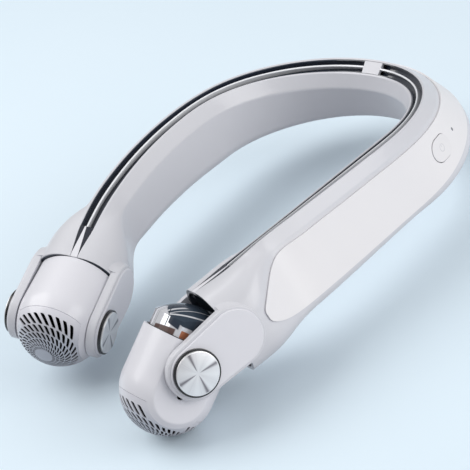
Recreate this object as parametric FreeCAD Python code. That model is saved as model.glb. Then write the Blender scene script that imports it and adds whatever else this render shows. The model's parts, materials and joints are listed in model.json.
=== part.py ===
import FreeCAD, Part
import math
import os

Vector = FreeCAD.Vector

# Electric neck fan with two tilting pods, lying as on a table. Lengths are millimetres, angles degrees.
# X runs towards the right arm, Y towards the nape and Z up. The origin is the middle of the neck opening.

# Band path: a half ellipse round the nape, then one arc along each arm as far as the shoulder mouth
half_width = 66.2
rear_depth = 74.4
arm_length = 125.4
arm_turn = 22.8
arch_rise = 11.2
wall_slant = 44.0
rear_slant = -23.0
slant_blend_share = 0.3
rear_steps = 12
arm_steps = 13
station_crowding = 1.8
station_gap = 0.4
turn_step = 0.2

# Band section, measured out and down from the crest line
wall = 2.0
strip_lean = 15.0
lip_width = 1.0
bevel_out = 7.0
bevel_drop = 5.3
bevel_round = 2.0
foot_out = 14.4
foot_drop = 46.4
foot_round = 5.5
inner_bevel_out = 10.0
inner_bevel_drop = 7.6
inner_bevel_round = 3.0
inner_foot_out = 12.3
inner_foot_drop = 34.0
inner_foot_round = 6.0
seam_out = 1.5
rear_bevel_out = 1.9
rear_bevel_drop = 1.7
rear_foot_out = 2.6
rear_foot_drop = -12.6
rear_inner_foot_out = -1.5
rear_inner_foot_drop = 2.7
rear_power = 1.5
seam_gap = 0.1

# Shoulder mouth, centred on the pod
shoulder_length = 32.0
mouth_hold = 11.0
mouth_half_width = 22.4
mouth_toe = 5.0
mouth_top_round = 18.4
mouth_outer_round = 17.5
mouth_foot_round = 15.0
tongue_half = 2.0

# Air outlet along the crest
channel_half = 3.6
channel_depth = 4.4
channel_wall = 0.5
channel_floor = 0.8
channel_sink = 0.3
channel_fit = 0.12
rib_half = 0.45
rib_fit = 0.05
slot_end_back = 20.0
bridge_turn = 5.0
bridge_steps = 2
tongue_depth = 1.7
tongue_groove = 0.25

# Cover panel on the outside of the band
panel_margin = 0.6
panel_foot_margin = 4.6
panel_lift = 0.08
panel_thickness = 0.9
panel_end_back = 17.0
panel_end_run = 14.0
panel_end_top = 4.0
panel_end_foot = 5.0
panel_end_shares = (0, 0.12, 0.36, 0.68, 1)

# Power button and charge light
button_turn = 69.0
button_drop = 20.5
button_length = 17.0
button_height = 12.0
button_proud = 0.3
button_gap = 0.35
button_thickness = 2.6
button_travel = 0.6
button_steps = 4
light_turn = 57.0
light_drop = 20.0
light_radius = 0.9
light_fit = 0.05

# Inside the band
floor_drop = 13.5
floor_thickness = 1.2
inner_fit = 0.15
floor_fit = 0.4
floor_end_back = 44.0
cell_length = 44.0
cell_thickness = 9.0
cell_height = 18.0
cell_round = 2.0
cell_back = 92.0
cell_gap = 1.4
board_length = 30.0
board_height = 9.0
board_thickness = 1.2
board_depth = 8.2
switch_side = 4.0
switch_gap = 0.4
socket_width = 8.94
socket_height = 3.26
socket_depth = 7.3
socket_wall = 0.3
socket_round = 1.2
socket_in = 4.0
socket_sink = 0.8
socket_tongue_width = 6.7
socket_tongue_thickness = 0.7

# Hinges: ears, raised plates, rings, caps and pins
hinge_ahead = 24.0
hinge_out = -0.2
hinge_drop = 23.4
ear_gap = 0.6
ear_bite = 2.2
ear_rise = 0.9
ear_round = 0.9
ear_border = 1.5
boss_sink = 1.7
plate_front_half = 11.9
plate_rear_half = 13.2
plate_length = 24.0
plate_rear_lift = 0.8
plate_thickness = 0.9
plate_edge = 0.4
ring_radius = 11.2
ring_width = 1.1
ring_height = 1.5
cap_height = 2.3
cap_chamfer = 0.6
cap_dish = 0.35
cap_hub_radius = 1.2
cap_gap = 0.15
pin_radius = 1.4
pin_fit = 0.05
pin_end_gap = 0.4

# Pods
pod_radius = 22.4
pod_flat = 18.4
pod_wall = 2.0
rim_gap = 0.5
grille_back = 8.0
grille_half = 16.2
grille_fit = 0.2
edge_round = 1.6
open_tilt = 29.0
open_slide = 13.0
plug_fit = 0.4
plug_wall = 1.8
plug_dome_radius = 27.0
plug_front = 5.2
plug_slots = 4
plug_slot_width = 3.0
plug_slot_pitch_turn = 11.0
boss_radius = 5.6
boss_length = 5.0
slot_side_gap = 0.3
scoop_gap = 7.0
scoop_half = 19.5
liner_back = 3.2
liner_gap = 1.0
liner_wall = 8.2

# Intake grille, impeller and motor
grille_ring_turns = (55.0, 42.0, 31.0, 21.5, 14.0)
grille_slots = 28
grille_slot_width = 2.3
grille_slot_length = 4.9
grille_swirl = -30.0
grille_ring_shift_share = 0.5
motor_radius = 7.0
motor_length = 5.0
motor_boss_radius = 4.6
motor_boss_length = 2.0
motor_gap = 0.1
rotor_gap = 0.6
rotor_radius = 15.0
rotor_length = 6.6
hub_radius = 7.0
shaft_radius = 1.0
shaft_fit = 0.02
blade_count = 9
blade_thickness = 0.9
blade_twist = 34.0
overrun = 6.0

# Worked out
arm_radius = arm_length / math.radians(arm_turn)
arm_reach = arm_radius * math.sin(math.radians(arm_turn))
end_turn = 90 + arm_turn
ear_inner = pod_flat + ear_gap
ear_outer = mouth_half_width + ear_rise
ear_pad = mouth_half_width - boss_sink
plate_top = ear_outer + plate_thickness
mouth_top = pod_radius - hinge_drop
mouth_foot = -pod_radius - hinge_drop
scoop_radius = plug_dome_radius + scoop_gap
liner_length = scoop_radius - hinge_ahead - liner_back + liner_wall
loft_degree = 5


def unit(vector):
    """The vector at length one."""
    return Vector(vector).normalize()


def soft(share):
    """Share held between 0 and 1 with soft ends."""
    share = min(1, max(0, share))
    return share * share * (3 - 2 * share)


def back_turn(back):
    """Turn on the right arm that lies this far behind the shoulder mouth."""
    return end_turn - math.degrees(back / arm_radius)


def path_point(turn):
    """Point of the crest line. Turn is 0 at the nape and positive on the right."""
    angle = math.radians(abs(turn))
    quarter = math.pi / 2
    if angle <= quarter:
        x = half_width * math.sin(angle)
        y = rear_depth * math.cos(angle)
    else:
        x = half_width - arm_radius * (1 - math.cos(angle - quarter))
        y = -arm_radius * math.sin(angle - quarter)
    run_share = (rear_depth - y) / (rear_depth + arm_reach)
    return Vector(math.copysign(x, turn), y, 4 * arch_rise * run_share * (1 - run_share))


def station(turn):
    """Crest point, and the directions along the band, outward and up within the section there."""
    along = unit(path_point(turn + turn_step) - path_point(turn - turn_step))
    level = unit(Vector(0, 0, 1).cross(along))
    share = soft(0.5 + level.y / (2 * slant_blend_share))
    slant = wall_slant + (rear_slant - wall_slant) * share
    fall = -level.y * math.sin(math.radians(slant))
    outward = level * math.sqrt(1 - fall * fall) + Vector(0, 0, fall)
    outward = unit(outward - along * outward.dot(along))
    up = along.cross(outward)
    swing = FreeCAD.Rotation(up, math.copysign(mouth_toe, turn) * flare(turn))
    return path_point(turn), swing.multVec(along), swing.multVec(outward), up


def spot(turn, out, rise):
    """Point of the band's section at a turn."""
    base, along, outward, up = station(turn)
    return base + outward * out + up * rise


def rounded_wire(corners):
    """Closed wire through corners, each a point and a rounding radius (0 keeps it sharp)."""
    count = len(corners)
    starts = []
    ends = []
    arcs = []
    for index in range(count):
        point, radius = corners[index]
        if radius == 0:
            starts.append(point)
            ends.append(point)
            arcs.append(None)
            continue
        before = unit(corners[index - 1][0] - point)
        after = unit(corners[(index + 1) % count][0] - point)
        half_angle = before.getAngle(after) / 2
        starts.append(point + before * (radius / math.tan(half_angle)))
        ends.append(point + after * (radius / math.tan(half_angle)))
        middle = point + unit(before + after) * (radius / math.sin(half_angle) - radius)
        arcs.append(Part.Arc(starts[-1], middle, ends[-1]).toShape())
    edges = []
    for index in range(count):
        if arcs[index]:
            edges.append(arcs[index])
        edges.append(Part.LineSegment(ends[index], starts[(index + 1) % count]).toShape())
    return Part.Wire(edges)


def sweep(outline, turns):
    """Solid through an outline that is drawn anew at each turn."""
    wires = []
    for turn in turns:
        corners = [(spot(turn, out, rise), radius) for out, rise, radius in outline(turn)]
        wires.append(rounded_wire(corners))
    return Part.makeLoft(wires, True, False, False, loft_degree)


def spread(first, last, steps):
    """Evenly spaced turns."""
    return [first + (last - first) * step / steps for step in range(steps + 1)]


def arm_turns(last_back=0):
    """Turns along the right arm, crowding towards the shoulder mouth, as far as last_back behind it."""
    backs = [panel_end_back + panel_end_run * share for share in panel_end_shares]
    for step in range(arm_steps):
        back = arm_length * (step / arm_steps) ** station_crowding
        if min(abs(back - other) for other in backs) > station_gap:
            backs.append(back)
    backs = [back for back in backs if back > last_back + station_gap] + [last_back]
    return [back_turn(back) for back in sorted(backs, reverse=True)]


def band_turns(last_back=0):
    """Turns of the whole band, as far as last_back behind the shoulder mouths."""
    right = arm_turns(last_back)
    left = [-turn for turn in reversed(right)]
    return left + spread(-90, 90, rear_steps) + right


def flare(turn):
    """How far the section has grown into the shoulder mouth, 0 to 1 with soft ends."""
    back = arm_radius * math.radians(end_turn - abs(turn))
    return soft(1 - (back - mouth_hold) / shoulder_length)


def blend(turn, band, mouth):
    """Section point between its place on the band and its place at the mouth."""
    share = flare(turn)
    return [a + (b - a) * share for a, b in zip(band, mouth)]


def on_strip(turn, across, depth):
    """Section point on the outlet strip, across it and into the band. The strip leans less at the mouth."""
    share = flare(turn)
    lean = math.radians(strip_lean * (1 - share))
    out = hinge_out * share + across * math.cos(lean) + depth * math.sin(lean)
    return [out, mouth_top * share + across * math.sin(lean) - depth * math.cos(lean)]


def strip_half(turn):
    """Half the width between the lips, narrower ahead of the slots."""
    back = arm_radius * math.radians(end_turn - abs(turn))
    slot_half = channel_half + channel_fit
    return slot_half + (tongue_half - slot_half) * soft(1 - back / slot_end_back)


def line_at(first, second, share):
    """Point between two section points."""
    return [a + (b - a) * share for a, b in zip(first[:2], second[:2])]


def shifted(point, first, second, depth):
    """Section point moved square to a line, to the right of its direction."""
    run = second[0] - first[0]
    climb = second[1] - first[1]
    length = math.hypot(run, climb)
    return [point[0] + climb / length * depth, point[1] - run / length * depth]


def crossing(a, b, c, d):
    """Where the line a to b meets the line c to d."""
    run = [b[0] - a[0], b[1] - a[1]]
    other = [d[0] - c[0], d[1] - c[1]]
    share = ((c[0] - a[0]) * other[1] - (c[1] - a[1]) * other[0]) / (run[0] * other[1] - run[1] * other[0])
    return [a[0] + run[0] * share, a[1] + run[1] * share]


def inset(before, point, after, depth):
    """Corner moved inside both of its sides."""
    first = shifted(before, before, point, depth)
    second = shifted(point, before, point, depth)
    third = shifted(point, point, after, depth)
    fourth = shifted(after, point, after, depth)
    return crossing(first, second, third, fourth)


def rear(turn):
    """Share of the nape's own thickness in the section, 1 at the nape and 0 on the arms."""
    return max(0, math.cos(math.radians(turn))) ** rear_power


def inner_foot_corner(turn):
    """Foot corner of the inner shell on the band."""
    share = rear(turn)
    return [-inner_foot_out - rear_inner_foot_out * share, -inner_foot_drop - rear_inner_foot_drop * share]


def outer_chain(turn):
    """Outer shell's outside: lip, bevel corner, foot corner and the seam below."""
    share = rear(turn)
    inner_foot = inner_foot_corner(turn)
    foot = [foot_out + rear_foot_out * share, -foot_drop - rear_foot_drop * share]
    seam = line_at(foot, inner_foot, (foot[0] - seam_out) / (foot[0] - inner_foot[0]))
    lip = on_strip(turn, strip_half(turn) + lip_width, 0)
    bevel = [bevel_out + rear_bevel_out * share, -bevel_drop - rear_bevel_drop * share, bevel_round]
    bevel = blend(turn, bevel, [hinge_out + mouth_half_width, mouth_top, mouth_outer_round])
    foot = blend(turn, foot + [foot_round], [hinge_out + mouth_half_width, mouth_foot, mouth_foot_round])
    return lip, bevel, foot, blend(turn, seam, [hinge_out, mouth_foot])


def inner_chain(turn):
    """Inner shell's outside, named from the lip down like the outer one."""
    lip = on_strip(turn, -strip_half(turn) - lip_width, 0)
    bevel = blend(turn, [-inner_bevel_out, -inner_bevel_drop, inner_bevel_round],
                  [hinge_out - mouth_half_width, mouth_top, mouth_top_round])
    foot = blend(turn, inner_foot_corner(turn) + [inner_foot_round],
                 [hinge_out - mouth_half_width, mouth_foot, mouth_foot_round])
    seam = outer_chain(turn)[3]
    return lip, bevel, foot, [seam[0] - seam_gap, seam[1]]


def lip_edge(turn, side, depth_share):
    """Lip's edge towards the outlet, at the surface or down at the foot of the channel."""
    depth = channel_depth + (wall - channel_depth) * flare(turn)
    return on_strip(turn, side * strip_half(turn), depth * depth_share)


def shell_outline(turn, chain, side):
    """Thin half shell: its outside chain, then the same chain set in by the wall."""
    lip, bevel, foot, seam = chain(turn)
    depth = wall * side
    bevel_in = inset(lip, bevel, foot, depth)
    foot_in = inset(bevel, foot, seam, depth)
    seam_in = shifted(seam, foot, seam, depth)
    return [
        lip + [0],
        bevel,
        foot,
        seam + [0],
        seam_in + [0],
        foot_in + [foot[2] - wall],
        bevel_in + [max(bevel[2] - wall, bevel_round / 2)],
        lip_edge(turn, side, 1) + [0],
        lip_edge(turn, side, 0) + [0],
    ]


def outer_outline(turn):
    return shell_outline(turn, outer_chain, 1)


def inner_outline(turn):
    return shell_outline(turn, inner_chain, -1)


def hinge_frame(side, tilt=0, slide=0):
    """Pod frame at a hinge: X along the hinge to the right, Y back to the arm, Z up; tilt opens it."""
    base, along, outward, up = station(side * end_turn)
    forward = along * side
    centre = base + outward * hinge_out - up * hinge_drop + forward * hinge_ahead
    place = FreeCAD.Placement(centre, FreeCAD.Rotation(outward * side, forward * -1, up, "XYZ"))
    turn = FreeCAD.Placement(Vector(0, 0, 0), FreeCAD.Rotation(Vector(1, 0, 0), tilt))
    shift = FreeCAD.Placement(Vector(0, -slide, 0), FreeCAD.Rotation())
    return place.multiply(turn).multiply(shift)


def placed(shape, frame):
    """Copy of a shape in a frame."""
    copy = shape.copy()
    copy.Placement = frame.multiply(shape.Placement)
    return copy


def rod(axis, radius, first, last):
    """Cylinder along X or Y between two places."""
    direction = Vector(1, 0, 0) if axis == "x" else Vector(0, 1, 0)
    return Part.makeCylinder(radius, last - first, direction * first, direction)


def slab(half, first, last, reach):
    """Box of half width in X between two places in Y."""
    return Part.makeBox(2 * half, last - first, 2 * reach, Vector(-half, first, -reach))


def side_prism(corners, first, last):
    """Prism along X of an outline of Y, Z and radius."""
    wire = rounded_wire([(Vector(first, y, z), radius) for y, z, radius in corners])
    return Part.Face(wire).extrude(Vector(last - first, 0, 0))


def stadium(front, back, half, first, last):
    """Prism along X with two round ends on Y."""
    middle = side_prism([(front, half, 0), (back, half, 0), (back, -half, 0), (front, -half, 0)], first, last)
    ends = [Part.makeCylinder(half, abs(last - first), Vector(min(first, last), y, 0), Vector(1, 0, 0))
            for y in (front, back)]
    return middle.fuse(ends).removeSplitter()


def paddle(border, first, last):
    """Prism along X round the hinge and round a larger end on the shoulder, with straight sides."""
    lean = math.atan2(plate_rear_lift, plate_length)
    reach = math.hypot(plate_rear_lift, plate_length)
    spread_angle = math.acos((plate_front_half - plate_rear_half) / reach)

    def rim_point(back, rise, half, angle):
        return Vector(first, back + half * math.cos(angle), rise + half * math.sin(angle))

    front = [rim_point(0, 0, plate_front_half + border, lean + angle)
             for angle in (-spread_angle, math.pi, spread_angle)]
    rear = [rim_point(plate_length, plate_rear_lift, plate_rear_half + border, lean + angle)
            for angle in (spread_angle, 0, -spread_angle)]
    edges = [Part.Arc(*front).toShape(), Part.LineSegment(front[2], rear[0]).toShape()]
    edges += [Part.Arc(*rear).toShape(), Part.LineSegment(rear[2], front[0]).toShape()]
    return Part.Face(Part.Wire(edges)).extrude(Vector(last - first, 0, 0))


def rim_edges(shape, place):
    """Edges of a shape that lie in the plane at one place on X."""
    boxes = [(edge, edge.BoundBox) for edge in shape.Edges]
    return [edge for edge, box in boxes if max(abs(box.XMin - place), abs(box.XMax - place)) < turn_step]


def ear(side):
    """Ear that carries one hinge pin, with a soft-edged pad outside; side is its direction along X."""
    neck = paddle(ear_border, side * ear_inner, side * ear_pad)
    reach = pod_radius + overrun
    neck = neck.common(slab(ear_outer, -reach, hinge_ahead + ear_bite, reach))
    pad = paddle(ear_border, side * ear_pad, side * ear_outer)
    pad = pad.makeFillet(ear_round, rim_edges(pad, side * ear_outer))
    bore = rod("x", pin_radius + pin_fit, -ear_outer - overrun, ear_outer + overrun)
    return neck.fuse(pad).cut(bore)


def panel_frame(turn, drop):
    """Frame on the cover panel: X forward along the band, Y up the panel, Z out of it."""
    lip, bevel, foot, seam = outer_chain(turn)
    base, along, outward, up = station(turn)
    rise = unit(outward * (bevel[0] - foot[0]) + up * (bevel[1] - foot[1]))
    normal = along.cross(rise) * -1
    if normal.dot(outward) < 0:
        normal = normal * -1
    share = (drop + bevel[1]) / (bevel[1] - foot[1])
    out, height = line_at(bevel, foot, share)
    origin = spot(turn, out, height)
    return FreeCAD.Placement(origin, FreeCAD.Rotation(rise.cross(normal), rise, normal, "ZYX"))


def oval(length, height, first, last):
    """Prism along Z with two round ends on X."""
    half = height / 2
    straight = length / 2 - half
    box = Part.makeBox(2 * straight, height, last - first, Vector(-straight, -half, first))
    ends = [Part.makeCylinder(half, last - first, Vector(x, 0, first)) for x in (-straight, straight)]
    return box.fuse(ends).removeSplitter()


def end_margin(turn, run, rise):
    """Extra margin that rounds a corner of the panel off towards its front end."""
    back = arm_radius * math.radians(end_turn - abs(turn))
    share = min(1, max(0, 1 - (back - panel_end_back) / run))
    return rise * (1 - math.sqrt(1 - share * share))


def panel_outline(lift, thickness):
    """Outline of a plate on the panel face of the outer shell."""
    def outline(turn):
        lip, bevel, foot, seam = outer_chain(turn)
        length = math.hypot(foot[0] - bevel[0], foot[1] - bevel[1])
        top_margin = bevel[2] + panel_margin + end_margin(turn, panel_end_run, panel_end_top)
        below = panel_foot_margin + (panel_margin - panel_foot_margin) * flare(turn)
        foot_margin = foot[2] + below + end_margin(turn, panel_end_run, panel_end_foot)
        top = line_at(bevel, foot, top_margin / length)
        bottom = line_at(bevel, foot, 1 - foot_margin / length)
        points = [shifted(top, bevel, foot, -lift), shifted(bottom, bevel, foot, -lift)]
        points += [shifted(bottom, bevel, foot, -lift - thickness), shifted(top, bevel, foot, -lift - thickness)]
        return [point + [0] for point in points]
    return outline


def cavity(turn, gap):
    """Corners of the space inside both shells: outer top and foot, inner foot and top."""
    corners = []
    for chain, side in ((outer_chain, 1), (inner_chain, -1)):
        lip, bevel, foot, seam = chain(turn)
        depth = (wall + gap) * side
        corners.append(inset(lip, bevel, foot, depth) + [max(bevel[2] - wall - gap, bevel_round / 2)])
        corners.append(inset(bevel, foot, seam, depth) + [foot[2] - wall - gap])
    return corners[0], corners[1], corners[3], corners[2]


def liner_outline(turn):
    return list(cavity(turn, liner_gap))


def floor_outline(turn):
    """Duct floor between the shells."""
    outer_top, outer_foot, inner_foot, inner_top = cavity(turn, floor_fit)
    corners = []
    for top, foot, levels in ((outer_top, outer_foot, (0, 1)), (inner_top, inner_foot, (1, 0))):
        for level in levels:
            rise = -floor_drop - level * floor_thickness
            corners.append(line_at(top, foot, (top[1] - rise) / (top[1] - foot[1])) + [0])
    return corners


def channel_outline(turn):
    """Open channel between the lips."""
    slot = channel_half - channel_wall
    floor = channel_depth - channel_floor
    corners = [(channel_half, channel_sink), (channel_half, channel_depth)]
    corners += [(-channel_half, channel_depth), (-channel_half, channel_sink)]
    corners += [(-slot, channel_sink), (-slot, floor), (slot, floor), (slot, channel_sink)]
    return [on_strip(turn, across, depth) + [0] for across, depth in corners]


def rib_outline(turn):
    """Bright rib that stands on the channel floor between the two slots."""
    floor = channel_depth - channel_floor - rib_fit
    corners = [(rib_half, 0), (rib_half, floor), (-rib_half, floor), (-rib_half, 0)]
    return [on_strip(turn, across, depth) + [0] for across, depth in corners]


def tongue_outline(turn):
    """Strip that fills the crest where there is no slot, with a fine groove along each side."""
    half = strip_half(turn) - tongue_groove
    corners = [(half, 0), (half, tongue_depth), (-half, tongue_depth), (-half, 0)]
    return [on_strip(turn, across, depth) + [0] for across, depth in corners]


def pod_solid(radius, flat, rim):
    """Round pod body with a domed front end and two flat cheeks."""
    body = rod("y", radius, 0, rim).fuse(Part.makeSphere(radius)).removeSplitter()
    return body.common(slab(flat, -radius - overrun, rim + overrun, radius + overrun))


def grille_cutters(radius):
    """Slots of the intake grille, in rings round the dome, smaller towards its middle."""
    cutters = []
    first_sine = math.sin(math.radians(grille_ring_turns[0]))
    for ring, polar in enumerate(grille_ring_turns):
        size_share = math.sin(math.radians(polar)) / first_sine
        box = Part.makeBox(grille_slot_width * size_share, 2 * overrun, grille_slot_length * size_share)
        box.translate(Vector(-grille_slot_width / 2, -overrun, -grille_slot_length / 2) * size_share)
        box.rotate(Vector(0, 0, 0), Vector(0, 1, 0), grille_swirl)
        box.translate(Vector(0, -radius, 0))
        box.rotate(Vector(0, 0, 0), Vector(1, 0, 0), -polar)
        for slot in range(grille_slots):
            cutter = box.copy()
            spin = 360 * (slot + grille_ring_shift_share * ring) / grille_slots
            cutter.rotate(Vector(0, 0, 0), Vector(0, 1, 0), spin)
            if abs(cutter.BoundBox.Center.x) < grille_half - grille_slot_width:
                cutters.append(cutter)
    return cutters


def blade(spin):
    """One impeller blade, twisted from hub to tip."""
    wires = []
    for radius, twist in ((hub_radius - blade_thickness, blade_twist / 2), (rotor_radius, blade_twist)):
        lean = math.radians(twist)
        run = Vector(math.sin(lean), math.cos(lean), 0) * (rotor_length / 2)
        thick = Vector(math.cos(lean), -math.sin(lean), 0) * (blade_thickness / 2)
        centre = Vector(0, 0, radius)
        points = [centre + run + thick, centre - run + thick, centre - run - thick, centre + run - thick]
        wires.append(Part.makePolygon(points + points[:1]))
    body = Part.makeLoft(wires, True, True)
    body.rotate(Vector(0, 0, 0), Vector(0, 1, 0), spin)
    return body


parts = {}

# Band shells with the ears and their bosses
turns = band_turns()
outer_shell = sweep(outer_outline, turns)
inner_shell = sweep(inner_outline, turns)
for side in (1, -1):
    frame = hinge_frame(side)
    for direction in (1, -1):
        arm = placed(ear(direction), frame)
        if direction == side:
            outer_shell = outer_shell.fuse(arm)
        else:
            inner_shell = inner_shell.fuse(arm)

# Outlet strip
slot_end = back_turn(slot_end_back)
for name, side in (("right", 1), ("left", -1)):
    rear_turns = [turn for turn in spread(0, 90, rear_steps // 2) if turn > bridge_turn]
    strip_turns = [bridge_turn] + rear_turns + arm_turns(slot_end_back)
    strip_turns = [side * turn for turn in strip_turns]
    parts[name + "_outlet_channel"] = sweep(channel_outline, strip_turns)
    parts[name + "_outlet_rib"] = sweep(rib_outline, strip_turns)
    tongue_turns = [side * turn for turn in [slot_end] + arm_turns() if turn >= slot_end]
    parts[name + "_crest_tongue"] = sweep(tongue_outline, tongue_turns)
parts["rear_bridge"] = sweep(tongue_outline, spread(-bridge_turn, bridge_turn, bridge_steps))

# Cover panel, power button and charge light
panel = sweep(panel_outline(panel_lift, panel_thickness), band_turns(panel_end_back))
button_frame = panel_frame(button_turn, button_drop)
opening = oval(button_length + 2 * button_gap, button_height + 2 * button_gap, -overrun, overrun)
opening = placed(opening, button_frame)
button_lift = panel_lift + panel_thickness + button_proud - button_thickness
button_span = math.degrees(button_length / half_width)
button_turns = spread(button_turn - button_span, button_turn + button_span, button_steps)
button_body = sweep(panel_outline(button_lift, button_thickness), button_turns)
button_edge = oval(button_length, button_height, -overrun, overrun)
parts["power_button"] = button_body.common(placed(button_edge, button_frame))
light_frame = panel_frame(light_turn, light_drop)
light_hole = Part.makeCylinder(light_radius + light_fit, 2 * overrun, Vector(0, 0, -overrun))
light_hole = placed(light_hole, light_frame)
light = Part.makeCylinder(light_radius, wall + panel_thickness, Vector(0, 0, -wall))
parts["charge_light"] = placed(light, light_frame)
parts["outer_panel"] = panel.cut([opening, light_hole])
outer_shell = outer_shell.cut([opening, light_hole])

# Charging socket at the nape, in the foot of the inner shell
base, along, outward, up = station(0)
socket_frame = FreeCAD.Placement(base, FreeCAD.Rotation(along, outward, up, "XYZ"))


def socket_prism(width, height, radius, low, high):
    """Upright prism with round corners at the socket's place."""
    corners = []
    for x, y in ((1, 1), (-1, 1), (-1, -1), (1, -1)):
        corners.append((Vector(x * width / 2, y * height / 2 - socket_in, low), radius))
    return placed(Part.Face(rounded_wire(corners)).extrude(Vector(0, 0, high - low)), socket_frame)


foot_corner = outer_chain(0)[2]
inner_corner = inner_foot_corner(0)
bottom = line_at(inner_corner, foot_corner, (-socket_in - inner_corner[0]) / (foot_corner[0] - inner_corner[0]))
socket_low = bottom[1] + socket_sink
socket_high = socket_low + socket_depth
hole_low = socket_low - overrun
hole_width = socket_width + 2 * inner_fit
hole_height = socket_height + 2 * inner_fit
hole = socket_prism(hole_width, hole_height, socket_round, hole_low, socket_high)
inside_width = socket_width - 2 * socket_wall
inside_height = socket_height - 2 * socket_wall
can = socket_prism(socket_width, socket_height, socket_round, socket_low, socket_high)
room = socket_prism(inside_width, inside_height, socket_round - socket_wall, hole_low, socket_high - socket_wall)
tongue_low = socket_low + socket_sink
tongue = socket_prism(socket_tongue_width, socket_tongue_thickness, 0, tongue_low, socket_high - socket_wall)
parts["usb_c_socket"] = can.cut(room).fuse(tongue)
inner_shell = inner_shell.cut(hole)
parts["outer_shell"] = outer_shell
parts["inner_shell"] = inner_shell

# Duct floor, cells, board and switch inside the band
parts["duct_floor"] = sweep(floor_outline, band_turns(floor_end_back))
cell_top = -floor_drop - floor_thickness - cell_gap
for name, side in (("right", 1), ("left", -1)):
    base, along, outward, up = station(side * back_turn(cell_back))
    frame = FreeCAD.Placement(base, FreeCAD.Rotation(along, outward, up, "XYZ"))
    cell = Part.makeBox(cell_length, cell_thickness, cell_height)
    cell.translate(Vector(-cell_length / 2, -cell_thickness / 2, cell_top - cell_height))
    long_edges = [edge for edge in cell.Edges if abs(edge.BoundBox.XLength - cell_length) < turn_step]
    cell = cell.makeFillet(cell_round, long_edges)
    parts[name + "_cell"] = placed(cell, frame)
board = Part.makeBox(board_length, board_height, board_thickness)
board.translate(Vector(-board_length / 2, -board_height / 2, -board_depth))
switch_top = button_lift - button_travel - switch_gap
switch = Part.makeBox(switch_side, switch_side, switch_top + board_depth - board_thickness)
switch.translate(Vector(-switch_side / 2, -switch_side / 2, board_thickness - board_depth))
parts["circuit_board"] = placed(board, button_frame)
parts["button_switch"] = placed(switch, button_frame)

# Shoulder liners
for name, side in (("right", 1), ("left", -1)):
    liner_start = back_turn(liner_back + liner_length)
    liner_turns = [side * turn for turn in [liner_start] + arm_turns(liner_back) if turn >= liner_start]
    scoop = placed(rod("x", scoop_radius, -scoop_half, scoop_half), hinge_frame(side))
    parts[name + "_mouth_liner"] = sweep(liner_outline, liner_turns).cut(scoop)

# Plates, rings and caps on the ears
for name, side in (("right", 1), ("left", -1)):
    frame = hinge_frame(side)
    for place, direction in (("outer", side), ("inner", -side)):
        plate = paddle(0, direction * ear_outer, direction * plate_top)
        plate = plate.makeChamfer(plate_edge, rim_edges(plate, direction * plate_top))
        parts[name + "_" + place + "_ear_plate"] = placed(plate, frame)
        ends = sorted((direction * plate_top, direction * (plate_top + ring_height)))
        ring = rod("x", ring_radius, ends[0], ends[1])
        ring = ring.cut(rod("x", ring_radius - ring_width, ends[0], ends[1]))
        parts[name + "_" + place + "_hinge_ring"] = placed(ring, frame)
        disc_radius = ring_radius - ring_width - cap_gap
        top = plate_top + cap_height
        profile = [(plate_top, 0), (plate_top, disc_radius), (top - cap_chamfer, disc_radius)]
        profile += [(top, disc_radius - cap_chamfer), (top - cap_dish, cap_hub_radius), (top - cap_dish, 0)]
        points = [Vector(direction * x, radius, 0) for x, radius in profile]
        face = Part.Face(Part.makePolygon(points + points[:1]))
        cap = face.revolve(Vector(0, 0, 0), Vector(1, 0, 0), 360)
        parts[name + "_" + place + "_hinge_cap"] = placed(cap, frame)

# Pods in their own frame, with the hinge line along X and the dome towards the front
rim = hinge_ahead - rim_gap
inner_radius = pod_radius - pod_wall
inner_flat = pod_flat - pod_wall
outside = pod_solid(pod_radius, pod_flat, rim)
creases = [edge for edge in outside.Edges if abs(abs(edge.CenterOfMass.x) - pod_flat) < turn_step]
creases = [edge for edge in creases if edge.BoundBox.YMin < rim - turn_step]
outside = outside.makeFillet(edge_round, creases)
pod = outside.cut(pod_solid(inner_radius, inner_flat, rim + overrun))
reach = pod_radius + overrun
slots = stadium(0, open_slide, pin_radius + slot_side_gap, -reach, reach)
sleeve = pod.cut([slab(grille_half, -reach, -grille_back, reach), slots])
dome = pod.common(slab(grille_half - grille_fit, -reach, -grille_back - grille_fit, reach))
dome = dome.cut(grille_cutters(pod_radius))
boss_end = motor_boss_length - inner_radius
dome = dome.fuse(rod("y", motor_boss_radius, -inner_radius - pod_wall / 2, boss_end))

motor_back = boss_end + motor_gap + motor_length
motor = rod("y", motor_radius, boss_end + motor_gap, motor_back)
motor = motor.cut(rod("y", shaft_radius + pin_fit, boss_end + motor_gap + pod_wall, motor_back))
rotor_front = motor_back + rotor_gap
rotor_middle = Vector(0, rotor_front + rotor_length / 2, 0)
blades = [blade(360 * index / blade_count) for index in range(blade_count)]
impeller = rod("y", hub_radius, -rotor_length / 2, rotor_length / 2).fuse(blades)
impeller.translate(rotor_middle)
shaft = rod("y", shaft_radius, boss_end + motor_gap + pod_wall + pin_fit, rotor_front + rotor_length)
impeller = impeller.cut(rod("y", shaft_radius + shaft_fit, rotor_front, rotor_front + rotor_length))

plug_radius = inner_radius - plug_fit
plug_flat = inner_flat - plug_fit


def plug_solid(radius, flat, dome_radius, front):
    """Round plug with flat cheeks, its front end rounded like the pod, its rear end a dome about the hinge."""
    body = pod_solid(radius, flat, dome_radius).common(slab(flat, -front, dome_radius, radius))
    return body.common(Part.makeSphere(dome_radius))


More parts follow.
